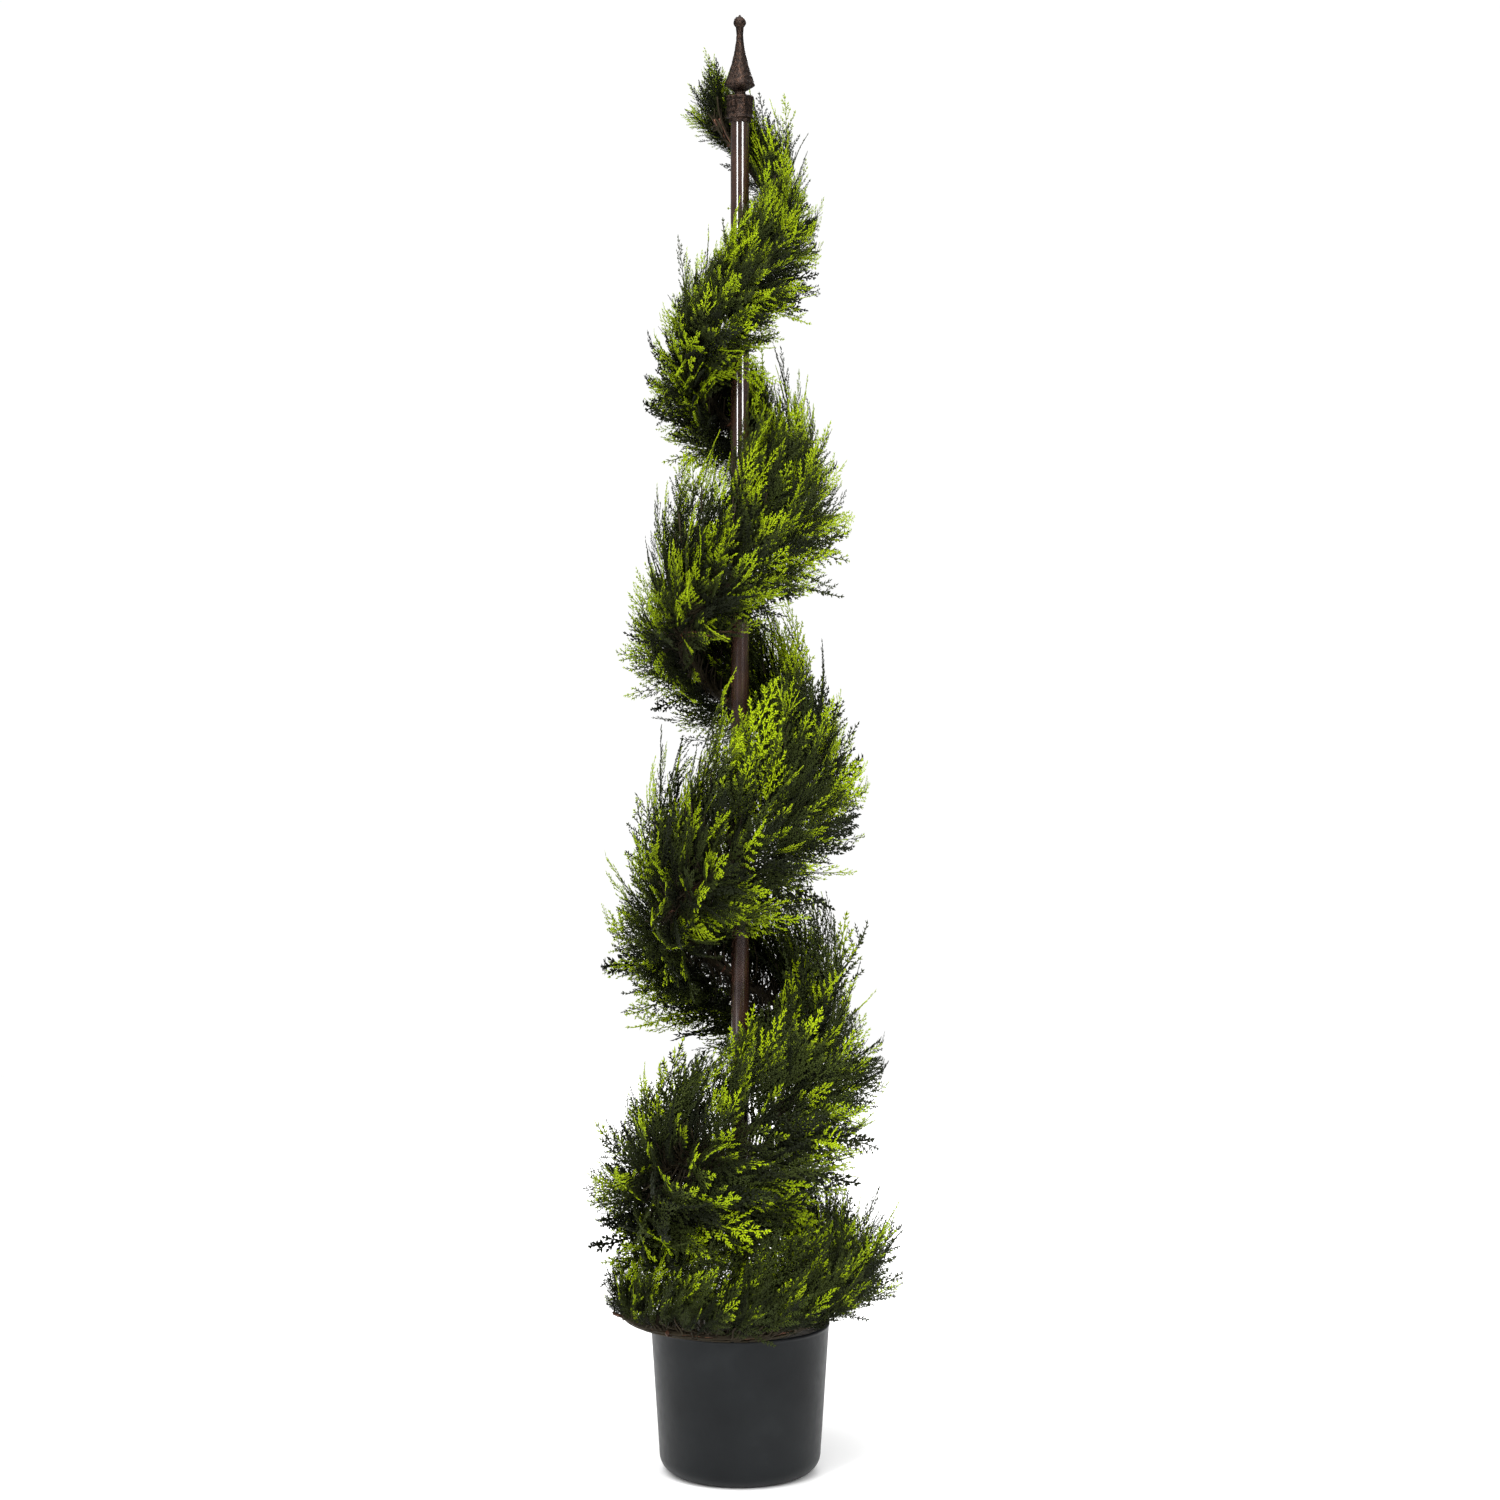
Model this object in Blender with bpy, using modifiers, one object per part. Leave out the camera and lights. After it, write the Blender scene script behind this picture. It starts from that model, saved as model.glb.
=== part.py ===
"""Spiral cypress topiary: a nursery pot filled with cement, a steel pole with a cast finial, and a
right-handed spiral of cypress boughs on two wire rails, which arms hold clear of the pole.

The origin is the centre of the pot's underside, +Z is up and -Y is the front. Sizes are in metres.
Places on the spiral are counted in turns: 0 is the front of the pot's rim, and every whole turn
comes back to the front, one pitch higher.
"""

import math

import bmesh
import bpy
from mathutils import Matrix, Vector

GAP = 0.0003

# Pot: a plain tapered tub with a rounded foot and a small bead round its mouth.
POT_HEIGHT = 0.160
POT_TOP_RADIUS = 0.0942
POT_FOOT_RADIUS = 0.0853
POT_FOOT_ROUND = 0.020
POT_WALL = 0.0025
RIM_BEAD = 0.0021
FILL_TOP = POT_HEIGHT - 0.014

# Pole: a steel tube that stands on a welded plate inside the fill.
POLE_RADIUS = 0.0095
POLE_WALL = 0.0012
PLATE_RADIUS = 0.035
PLATE_THICKNESS = 0.003
PLATE_BOTTOM = 0.020
POLE_TOP = 1.4374

# Finial: a square cap over the pole's end, and a four-sided spear with a ball at its tip.
# Both have broad chamfers, and stand turned to the front.
TOTAL_HEIGHT = 1.524
FINIAL_TURN = math.radians(-37.5)
CHAMFER_SHARE = 0.35
CAP_BOTTOM = 1.4140
CAP_BODY_BOTTOM = 1.4182
CAP_TOP = 1.4418
CAP_BAND_RADIUS = 0.0115
CAP_HALF_WIDTH = 0.0116
CAP_FLANGE = 0.0010
SPEAR_BOTTOM = CAP_TOP + GAP
SPEAR_SHOULDER = 1.4532
SPEAR_THROAT = 1.5030
SPEAR_HALF_WIDTH = 0.0136
THROAT_HALF_WIDTH = 0.0033
SPEAR_CURVE = 1.6
NECK_RADIUS = 0.0060
STUD_RADIUS = 0.004
BALL_RADIUS = 0.0065

# Spiral: the line midway between the two rails.
STEPS_PER_TURN = 24
FIRST_TURN = -7 / STEPS_PER_TURN
LAST_TURN = 111 / STEPS_PER_TURN
PITCH = 0.293
LEVEL_EASE = 0.35
SEAT_HEIGHT = POT_HEIGHT + 0.0044
SEAT_RADIUS = 0.0937
RADIUS_PER_TURN = 0.0129
END_FLARE = 0.33

# Wires: rails, arms and ties.
RAIL_WIRE = 0.0016
RAIL_OFFSET = 0.004
ARM_WIRE = 0.0014
ARM_HALF_WIDTH = 0.0035
ARM_PAST_SPIRAL = 0.0065
ARM_COUNT = 9
FIRST_ARM_TURN = 0.3
TIE_WIRE = 0.0009
RIM_TIE_TURNS = (-6 / STEPS_PER_TURN, -3 / STEPS_PER_TURN, 3 / STEPS_PER_TURN)
SPIRAL_TIES = 9
FIRST_SPIRAL_TIE = 13 / STEPS_PER_TURN
HALF_TURN = 0.5

# Boughs: the body of foliage, hollowed on the pole's side where the rails run.
BOUGH_COUNT = 20
BOUGH_STATIONS = 5
BOUGH_SPLIT = 0.0035
BOUGH_OVERHANG = 0.008
FOLIAGE_RADIUS = 0.170
FOLIAGE_RADIUS_PER_TURN = 0.0205
FOLIAGE_HALF_HEIGHT = 0.120
FOLIAGE_HALF_HEIGHT_PER_TURN = 0.0125
CHANNEL_HALF_HEIGHT = 0.011
CHANNEL_DEPTH = 0.012
LIP_DEPTH = 0.018
LIP_DEPTH_PER_TURN = 0.0024
RIM_DROOP = 0.016
RIM_CLEARANCE = 0.006
TURN_CLEARANCE = 0.003

ROUND_STEPS = 48
FILL_STEPS = 32
POLE_STEPS = 24


def clear_scene() -> None:
    for obj in list(bpy.data.objects):
        bpy.data.objects.remove(obj)


def new_collection(name):
    collection = bpy.data.collections.new(name)
    bpy.context.scene.collection.children.link(collection)
    return collection


def plain_material(name, color, roughness, metallic=0.0):
    material = bpy.data.materials.new(name)
    material.use_nodes = True
    shader = material.node_tree.nodes["Principled BSDF"]
    shader.inputs["Base Color"].default_value = (*color, 1.0)
    shader.inputs["Roughness"].default_value = roughness
    shader.inputs["Metallic"].default_value = metallic
    return material


def add_object(name, data, collection, material=None):
    obj = bpy.data.objects.new(name, data)
    if material:
        data.materials.append(material)
    collection.objects.link(obj)
    return obj


def arc(centre, radius, start, end, count):
    """Points (across, up) on an arc between two angles in degrees."""
    angles = [math.radians(start + (end - start) * i / (count - 1)) for i in range(count)]
    return [(centre[0] + radius * math.cos(a), centre[1] + radius * math.sin(a)) for a in angles]


def turned(name, profile, collection, material=None, steps=ROUND_STEPS, ring=False):
    """A profile of (radius, height) points turned about Z. It runs down the piece's outer side."""
    mesh = bpy.data.meshes.new(name)
    shape = bmesh.new()
    points = [shape.verts.new((radius, 0.0, height)) for radius, height in profile]
    for first, second in zip(points, points[1:]):
        shape.edges.new((first, second))
    if ring:
        shape.edges.new((points[-1], points[0]))
    shape.to_mesh(mesh)
    shape.free()
    obj = add_object(name, mesh, collection, material)
    screw = obj.modifiers.new("Turn", "SCREW")
    screw.steps = steps
    screw.render_steps = steps
    screw.use_merge_vertices = True
    screw.merge_threshold = 0.00001
    screw.use_smooth_shade = True
    return obj


def cylinder(name, radius, bottom, top, collection, steps=POLE_STEPS):
    """An upright cylinder on the pole's axis."""
    mesh = bpy.data.meshes.new(name)
    shape = bmesh.new()
    middle = Matrix.Translation((0.0, 0.0, (bottom + top) / 2))
    bmesh.ops.create_cone(
        shape,
        cap_ends=True,
        segments=steps,
        radius1=radius,
        radius2=radius,
        depth=top - bottom,
        matrix=middle,
    )
    shape.to_mesh(mesh)
    shape.free()
    return add_object(name, mesh, collection)


def combine(obj, other, operation):
    """Cuts obj with a helper, or joins the helper to it."""
    other.hide_render = True
    other.display_type = "WIRE"
    boolean = obj.modifiers.new(other.name, "BOOLEAN")
    boolean.operation = operation
    boolean.solver = "EXACT"
    boolean.object = other


def wire(name, points, radius, collection, material, cyclic=False, resolution=2):
    """A round wire through the given points."""
    curve = bpy.data.curves.new(name, "CURVE")
    curve.dimensions = "3D"
    curve.bevel_depth = radius
    curve.bevel_resolution = resolution
    curve.use_fill_caps = True
    spline = curve.splines.new("POLY")
    spline.points.add(len(points) - 1)
    for target, point in zip(spline.points, points):
        target.co = (*point, 1.0)
    spline.use_cyclic_u = cyclic
    spline.use_smooth = True
    return add_object(name, curve, collection, material)


def loft(name, rings, collection, material=None):
    """A closed solid through rings of points, each ring with as many points as the next."""
    mesh = bpy.data.meshes.new(name)
    shape = bmesh.new()
    rings = [[shape.verts.new(point) for point in ring] for ring in rings]
    for lower, upper in zip(rings, rings[1:]):
        for i in range(len(lower)):
            j = (i + 1) % len(lower)
            shape.faces.new((lower[i], lower[j], upper[j], upper[i]))
    shape.faces.new(reversed(rings[0]))
    shape.faces.new(rings[-1])
    bmesh.ops.recalc_face_normals(shape, faces=shape.faces)
    bmesh.ops.triangulate(shape, faces=shape.faces)
    shape.to_mesh(mesh)
    shape.free()
    return add_object(name, mesh, collection, material)


def chamfered_square(half_width, height):
    """A level ring: a square with chamfered corners, turned as the finial stands."""
    inner = half_width * (1.0 - CHAMFER_SHARE)
    corner = [Vector((half_width, -inner, height)), Vector((half_width, inner, height))]
    turns = [FINIAL_TURN + math.tau * i / 4 for i in range(4)]
    return [Matrix.Rotation(turn, 3, "Z") @ point for turn in turns for point in corner]


def climb(turn):
    """The spiral's height: level where it lies on the rim, then one pitch a turn."""
    return SEAT_HEIGHT + PITCH * (math.hypot(max(turn, 0.0), LEVEL_EASE) - LEVEL_EASE)


def reach(turn):
    """The spiral's distance from the axis: it narrows upwards, and its lower end swings out."""
    return SEAT_RADIUS - RADIUS_PER_TURN * turn + END_FLARE * min(turn, 0.0) ** 2


def outward(turn):
    """The level direction from the axis towards the spiral."""
    angle = math.tau * (turn - 0.25)
    return Vector((math.cos(angle), math.sin(angle), 0.0))


def on_spiral(turn, across=0.0, up=0.0):
    """A point on the spiral, moved outwards and upwards from its middle line."""
    return outward(turn) * (reach(turn) + across) + Vector((0.0, 0.0, climb(turn) + up))


def along(turn):
    """The direction in which the spiral climbs."""
    step = 0.001
    return (on_spiral(turn + step) - on_spiral(turn - step)).normalized()


def ease(value, start, end):
    """0 before start, 1 after end, and a smooth rise between."""
    share = min(max((value - start) / (end - start), 0.0), 1.0)
    return share * share * (3.0 - 2.0 * share)


def mix(low, high, share):
    return low + (high - low) * share


def build_pot(collection):
    plastic = plain_material("pot_plastic", (0.028, 0.034, 0.036), 0.42)
    inner_round = POT_FOOT_ROUND - POT_WALL
    foot_centre = (POT_FOOT_RADIUS - POT_FOOT_ROUND, POT_FOOT_ROUND)
    bead_centre = (POT_TOP_RADIUS - POT_WALL / 2, POT_HEIGHT - RIM_BEAD)
    inside = arc(foot_centre, inner_round, -90, 0, 5)
    bead = arc(bead_centre, RIM_BEAD, 180, -40, 8)
    outside = arc(foot_centre, POT_FOOT_ROUND, 0, -90, 7)
    under_bead = (POT_TOP_RADIUS, POT_HEIGHT - 2.4 * RIM_BEAD)
    profile = [(0.0, POT_WALL)] + inside + bead + [under_bead] + outside + [(0.0, 0.0)]
    return turned("pot_shell", profile, collection, plastic)


def build_fill(collection):
    """The cement fill, cast round the pole and its plate."""
    cement = plain_material("cement", (0.36, 0.35, 0.33), 0.9)
    clear = POT_WALL + GAP
    foot_centre = (POT_FOOT_RADIUS - POT_FOOT_ROUND, POT_FOOT_ROUND)
    mouth = POT_TOP_RADIUS - POT_WALL / 2 - RIM_BEAD
    rise = (FILL_TOP - POT_FOOT_ROUND) / (POT_HEIGHT - RIM_BEAD - POT_FOOT_ROUND)
    edge = mix(POT_FOOT_RADIUS - POT_WALL, mouth, rise) - 2 * GAP
    socket = POLE_RADIUS + GAP
    plate_edge = PLATE_RADIUS + GAP
    plate_top = PLATE_BOTTOM + PLATE_THICKNESS + GAP
    profile = [
        (0.0, PLATE_BOTTOM - GAP),
        (plate_edge, PLATE_BOTTOM - GAP),
        (plate_edge, plate_top),
        (socket, plate_top),
        (socket, FILL_TOP),
        (edge, FILL_TOP),
    ]
    profile += arc(foot_centre, POT_FOOT_ROUND - clear - GAP, 0, -90, 5)
    profile += [(0.0, POT_WALL + 2 * GAP)]
    return turned("cement_fill", profile, collection, cement, FILL_STEPS)


def build_pole(collection):
    steel = plain_material("brown_gloss_steel", (0.040, 0.018, 0.011), 0.18, 0.6)
    foot = PLATE_BOTTOM + PLATE_THICKNESS + 2 * GAP
    bore = POLE_RADIUS - POLE_WALL
    profile = [(POLE_RADIUS, POLE_TOP), (POLE_RADIUS, foot), (bore, foot), (bore, POLE_TOP)]
    turned("pole_tube", profile, collection, steel, POLE_STEPS, ring=True)
    plate = cylinder(
        "pole_foot_plate",
        PLATE_RADIUS,
        PLATE_BOTTOM,
        PLATE_BOTTOM + PLATE_THICKNESS,
        collection,
        steps=32,
    )
    plate.data.materials.append(steel)


def build_finial(collection, helpers):
    iron = plain_material("brown_cast_iron", (0.030, 0.015, 0.010), 0.45, 0.5)
    flange = CAP_HALF_WIDTH + CAP_FLANGE
    flange_bottom = CAP_TOP - 0.0046
    lip_top = CAP_BODY_BOTTOM + 0.0036
    cap_levels = [
        (flange, CAP_BODY_BOTTOM),
        (flange, CAP_BODY_BOTTOM + CAP_FLANGE),
        (CAP_HALF_WIDTH, lip_top),
        (CAP_HALF_WIDTH, flange_bottom),
        (flange, flange_bottom + CAP_FLANGE),
        (flange, CAP_TOP - CAP_FLANGE),
        (CAP_HALF_WIDTH, CAP_TOP),
    ]
    cap = loft("finial_cap", [chamfered_square(*level) for level in cap_levels], collection, iron)
    band = cylinder("cap_band", CAP_BAND_RADIUS, CAP_BOTTOM, CAP_BODY_BOTTOM + 0.002, helpers)
    socket = cylinder("cap_socket", POLE_RADIUS + GAP, CAP_BOTTOM - 0.01, POLE_TOP + GAP, helpers)
    stud_hole = cylinder("cap_stud_hole", STUD_RADIUS + GAP, POLE_TOP - 0.01, CAP_TOP + 0.01, helpers)
    combine(cap, band, "UNION")
    combine(cap, socket, "DIFFERENCE")
    combine(cap, stud_hole, "DIFFERENCE")

    spear_levels = [(NECK_RADIUS - 0.001, SPEAR_SHOULDER - 0.0068)]
    spear_levels += [(SPEAR_HALF_WIDTH - 0.0012, SPEAR_SHOULDER - 0.0022)]
    flank_steps = 8
    for i in range(flank_steps + 1):
        share = 1.0 - i / flank_steps
        half_width = mix(THROAT_HALF_WIDTH, SPEAR_HALF_WIDTH, share**SPEAR_CURVE)
        spear_levels.append((half_width, mix(SPEAR_THROAT, SPEAR_SHOULDER, share)))
    rings = [chamfered_square(*level) for level in spear_levels]
    spear = loft("finial_spear", rings, collection, iron)
    ball_centre = TOTAL_HEIGHT - 0.0010 - BALL_RADIUS
    tip = [(0.0, TOTAL_HEIGHT), (0.0010, TOTAL_HEIGHT - 0.0003)]
    ball = arc((0.0, ball_centre), BALL_RADIUS, 78, -50, 8)
    throat_radius = THROAT_HALF_WIDTH + 0.0003
    throat = [(throat_radius, SPEAR_THROAT + 0.0010), (0.0, SPEAR_THROAT - 0.0010)]
    knob = turned("spear_knob", tip + ball + throat, helpers, steps=16)
    neck_top = SPEAR_SHOULDER - 0.0050
    neck = cylinder("spear_neck", NECK_RADIUS, SPEAR_BOTTOM, neck_top, helpers)
    stud = cylinder("spear_stud", STUD_RADIUS, POLE_TOP + GAP, neck_top - 0.002, helpers)
    for helper in (knob, neck, stud):
        combine(spear, helper, "UNION")


def build_rails(collection, steel):
    count = round((LAST_TURN - FIRST_TURN) * STEPS_PER_TURN)
    turns = [mix(FIRST_TURN, LAST_TURN, i / count) for i in range(count + 1)]
    for name, offset in (("outer_rail", RAIL_OFFSET), ("inner_rail", -RAIL_OFFSET)):
        points = [on_spiral(turn, across=offset) for turn in turns]
        wire(name, points, RAIL_WIRE, collection, steel, resolution=1)


def build_arms(collection, steel):
    """Hairpins of wire from the pole to the spiral. The rails lie on top of them."""
    for index in range(ARM_COUNT):
        turn = FIRST_ARM_TURN + HALF_TURN * index
        out, side = outward(turn), along(turn)
        drop = out.cross(side).normalized() * (RAIL_WIRE + ARM_WIRE + GAP)
        if drop.z > 0:
            drop.negate()
        base = Vector((0.0, 0.0, climb(turn))) + drop
        straight = reach(turn) + ARM_PAST_SPIRAL - ARM_HALF_WIDTH
        start = POLE_RADIUS + GAP
        outline = [(start, -ARM_HALF_WIDTH)]
        outline += arc((straight, 0.0), ARM_HALF_WIDTH, -90, 90, 7)
        outline += [(start, ARM_HALF_WIDTH)]
        points = [base + out * across + side * sideways for across, sideways in outline]
        wire(f"arm_{index + 1}", points, ARM_WIRE, collection, steel)


def build_ties(collection, steel):
    """Loops of thin wire that bind the two rails together."""
    turns = list(RIM_TIE_TURNS)
    turns += [FIRST_SPIRAL_TIE + HALF_TURN * i for i in range(SPIRAL_TIES)]
    bend = RAIL_WIRE + 2 * GAP + TIE_WIRE
    outline = arc((RAIL_OFFSET, 0.0), bend, -90, 90, 6) + arc((-RAIL_OFFSET, 0.0), bend, 90, 270, 6)
    for index, turn in enumerate(turns):
        up = outward(turn).cross(along(turn)).normalized()
        side = along(turn).cross(up)
        points = [on_spiral(turn) + side * across + up * height for across, height in outline]
        wire(f"tie_{index + 1}", points, TIE_WIRE, collection, steel, cyclic=True, resolution=1)


def half_height(turn):
    """Half the foliage's height on the spiral, which thins out at its upper end."""
    height = FOLIAGE_HALF_HEIGHT - FOLIAGE_HALF_HEIGHT_PER_TURN * turn
    return height * mix(1.0, 0.6, ease(turn, LAST_TURN - 0.5, LAST_TURN))


def bough_outline(turn):
    """The foliage's outline in the upright plane through the axis, from the spiral's middle line."""
    full = ease(turn, 0.1, 0.9)
    outer = max(FOLIAGE_RADIUS - FOLIAGE_RADIUS_PER_TURN * turn - reach(turn), 0.05)
    room = climb(turn + 1.0) - half_height(turn + 1.0) - climb(turn) - TURN_CLEARANCE
    high = min(half_height(turn) * mix(0.72, 1.0, full), room)
    low = mix(RIM_DROOP, high, full)
    lip = -LIP_DEPTH + LIP_DEPTH_PER_TURN * turn
    low_lip = mix(RIM_CLEARANCE, lip, full)
    middle = 0.012
    upper = arc((0.0, 0.0), 1.0, 108, 0, 6)
    lower = arc((0.0, 0.0), 1.0, 0, -108, 6)[1:]
    points = [(CHANNEL_DEPTH, CHANNEL_HALF_HEIGHT), (lip, CHANNEL_HALF_HEIGHT), (lip, 0.6 * high)]
    points += [(middle + (outer - middle) * x, high * y) for x, y in upper]
    low_middle = max(middle, low_lip + 0.006)
    lower_side = [(low_middle + (outer - low_middle) * x, low * y) for x, y in lower]
    points += [(max(x, low_lip + 0.001), y) for x, y in lower_side]
    points += [(low_lip, -mix(CHANNEL_HALF_HEIGHT + 0.002, 0.6 * high, full))]
    points += [(low_lip, -CHANNEL_HALF_HEIGHT), (CHANNEL_DEPTH, -CHANNEL_HALF_HEIGHT)]
    return points


def build_boughs(collection):
    """A quarter-turn of foliage each, lofted through sections whose outline changes up the spiral."""
    green = plain_material("cypress_green", (0.060, 0.110, 0.018), 0.6)
    for index in range(BOUGH_COUNT):
        start = mix(FIRST_TURN, LAST_TURN, index / BOUGH_COUNT) + BOUGH_SPLIT
        end = mix(FIRST_TURN, LAST_TURN, (index + 1) / BOUGH_COUNT)
        rings = []
        for station in range(BOUGH_STATIONS):
            turn = mix(start, end, station / (BOUGH_STATIONS - 1)) + BOUGH_OVERHANG
            rings.append([on_spiral(turn, across, up) for across, up in bough_outline(turn)])
        loft(f"bough_{index + 1}", rings, collection, green)


def main():
    clear_scene()
    parts = new_collection("spiral_topiary")
    helpers = new_collection("helpers")
    build_pot(parts)
    build_fill(parts)
    build_pole(parts)
    build_finial(parts, helpers)
    wire_steel = plain_material("brown_wire", (0.110, 0.045, 0.022), 0.4, 0.5)
    build_rails(parts, wire_steel)
    build_arms(parts, wire_steel)
    build_ties(parts, wire_steel)
    build_boughs(parts)


main()
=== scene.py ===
"""Looks of the spiral cypress topiary: potted pole, cast finial, wire spiral and its foliage.

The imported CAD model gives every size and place. Lengths are in metres, +Z is up and -Y is the
front. Places on the spiral are counted in turns: 0 is the front of the pot's rim, and each whole
turn comes back to the front, one pitch higher.
"""

import logging
import math
from dataclasses import dataclass, field, replace
from enum import Enum
from typing import Sequence

import bpy
import numpy as np
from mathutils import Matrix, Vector, noise


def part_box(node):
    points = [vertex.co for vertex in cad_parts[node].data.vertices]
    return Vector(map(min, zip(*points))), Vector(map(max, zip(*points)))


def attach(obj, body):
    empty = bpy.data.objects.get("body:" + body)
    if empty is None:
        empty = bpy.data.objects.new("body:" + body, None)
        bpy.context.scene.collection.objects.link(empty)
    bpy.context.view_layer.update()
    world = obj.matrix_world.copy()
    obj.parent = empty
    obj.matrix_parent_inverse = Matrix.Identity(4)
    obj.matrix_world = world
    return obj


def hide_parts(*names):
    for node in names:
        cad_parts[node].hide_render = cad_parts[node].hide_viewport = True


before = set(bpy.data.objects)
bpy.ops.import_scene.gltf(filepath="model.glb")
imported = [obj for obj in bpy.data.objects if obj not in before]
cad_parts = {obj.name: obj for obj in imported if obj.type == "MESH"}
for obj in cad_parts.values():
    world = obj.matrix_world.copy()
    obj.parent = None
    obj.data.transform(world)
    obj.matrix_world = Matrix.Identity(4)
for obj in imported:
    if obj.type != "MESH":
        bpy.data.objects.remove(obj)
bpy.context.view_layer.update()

log = logging.getLogger("topiary")

Array = np.ndarray
Random = np.random.Generator
Color = tuple[float, float, float]
Socket = bpy.types.NodeSocket
Table = tuple[tuple[float, float], ...]
Pair = tuple[float, float]
Solid = tuple[Array, Array]


class Body(Enum):
    """The CAD bodies that pieces ride on."""

    STAND = "stand"
    FINIAL = "finial"


class Slot(Enum):
    """The record's material slots."""

    POT = "pot_plastic"
    CEMENT = "cement"
    ENAMEL = "brown_gloss_steel"
    IRON = "brown_cast_iron"
    WIRE = "brown_wire"
    LEAF = "cypress_green"


class Grain(Enum):
    """The kinds of surface relief that a finish can have, and the node that makes each."""

    CLOUDY = "ShaderNodeTexNoise"
    PITTED = "ShaderNodeTexVoronoi"


# ---------------------------------------------------------------------------------------------
# Finishes
# ---------------------------------------------------------------------------------------------


class NodeSheet:
    """A node tree being wired up: adds nodes and links them by socket name."""

    def __init__(self, tree: bpy.types.NodeTree) -> None:
        """Starts on a material's or a group's tree."""
        self.tree = tree

    def add(self, kind: str, **settings: object) -> bpy.types.Node:
        """Adds a node.

        Args:
            kind: Blender's name for the node type.
            settings: properties of the node to set.

        Returns:
            The new node.
        """
        node = self.tree.nodes.new(kind)
        for name, value in settings.items():
            setattr(node, name, value)
        return node

    def link(self, source: Socket, target: Socket) -> None:
        """Joins an output to an input."""
        self.tree.links.new(source, target)

    def place(self) -> Socket:
        """The surface point in the object's own metres."""
        return self.add("ShaderNodeTexCoord").outputs["Object"]

    def grain(self, kind: Grain, scale: float, detail: float = 3.0) -> Socket:
        """A grey pattern over the surface.

        Args:
            kind: cloudy noise, or pits round cell centres.
            scale: features per metre.
            detail: octaves of finer noise, for cloudy grain.

        Returns:
            The pattern's value output.
        """
        node = self.add(kind.value)
        node.inputs["Scale"].default_value = scale
        if kind is Grain.CLOUDY:
            node.inputs["Detail"].default_value = detail
        self.link(self.place(), node.inputs["Vector"])
        return node.outputs["Fac" if kind is Grain.CLOUDY else "Distance"]

    def ramp(self, value: Socket, stops: Sequence[tuple[float, Color]]) -> Socket:
        """Colours for a grey pattern.

        Args:
            value: the pattern.
            stops: (place from 0 to 1, colour) pairs in rising order.

        Returns:
            The colour output.
        """
        node = self.add("ShaderNodeValToRGB")
        steps = node.color_ramp.elements
        while len(steps) < len(stops):
            steps.new(0.5)
        for step, (place, color) in zip(steps, stops):
            step.position = place
            step.color = (*color, 1.0)
        self.link(value, node.inputs["Fac"])
        return node.outputs["Color"]

    def spread(self, value: Socket, low: float, high: float) -> Socket:
        """Maps a 0 to 1 pattern to the range from low to high."""
        node = self.add("ShaderNodeMapRange")
        node.inputs["To Min"].default_value = low
        node.inputs["To Max"].default_value = high
        self.link(value, node.inputs["Value"])
        return node.outputs["Result"]

    def relief(self, value: Socket, height: float, below: Socket | None = None) -> Socket:
        """Turns a pattern into bumps.

        Args:
            value: the pattern.
            height: how far the bumps stand up, in metres.
            below: the normal of coarser bumps that these lie on.

        Returns:
            The bumped normal.
        """
        node = self.add("ShaderNodeBump")
        node.inputs["Distance"].default_value = height
        self.link(value, node.inputs["Height"])
        if below:
            self.link(below, node.inputs["Normal"])
        return node.outputs["Normal"]


def blank_material(name: str) -> tuple[bpy.types.Material, NodeSheet, bpy.types.Node]:
    """A new material with one Principled shader.

    Args:
        name: the finish's name.

    Returns:
        The material, its node sheet and the shader.
    """
    material = bpy.data.materials.new(name)
    material.use_nodes = True
    sheet = NodeSheet(material.node_tree)
    return material, sheet, material.node_tree.nodes["Principled BSDF"]


@dataclass(frozen=True)
class TubPlastic:
    """Blow-moulded slate-grey plastic: satin, with cloudy flow marks and scuffs."""

    dark: Color = (0.0060, 0.0069, 0.0077)
    light: Color = (0.0087, 0.0100, 0.0110)
    scuff: Color = (0.0180, 0.0202, 0.0216)
    flow_scale: float = 14.0
    scuff_scale: float = 90.0
    orange_peel_scale: float = 700.0
    orange_peel_height: float = 0.00006

    def material(self) -> bpy.types.Material:
        """Makes the material."""
        material, sheet, shader = blank_material("tub_plastic")
        flow = sheet.grain(Grain.CLOUDY, self.flow_scale, 6.0)
        stops = [(0.36, self.dark), (0.62, self.light), (0.93, self.scuff)]
        sheet.link(sheet.ramp(flow, stops), shader.inputs["Base Color"])
        scuffs = sheet.grain(Grain.CLOUDY, self.scuff_scale, 5.0)
        sheet.link(sheet.spread(scuffs, 0.30, 0.50), shader.inputs["Roughness"])
        peel = sheet.grain(Grain.CLOUDY, self.orange_peel_scale, 2.0)
        swell = sheet.relief(flow, 0.0012)
        sheet.link(sheet.relief(peel, self.orange_peel_height, swell), shader.inputs["Normal"])
        shader.inputs["Specular IOR Level"].default_value = 0.12
        return material


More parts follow.
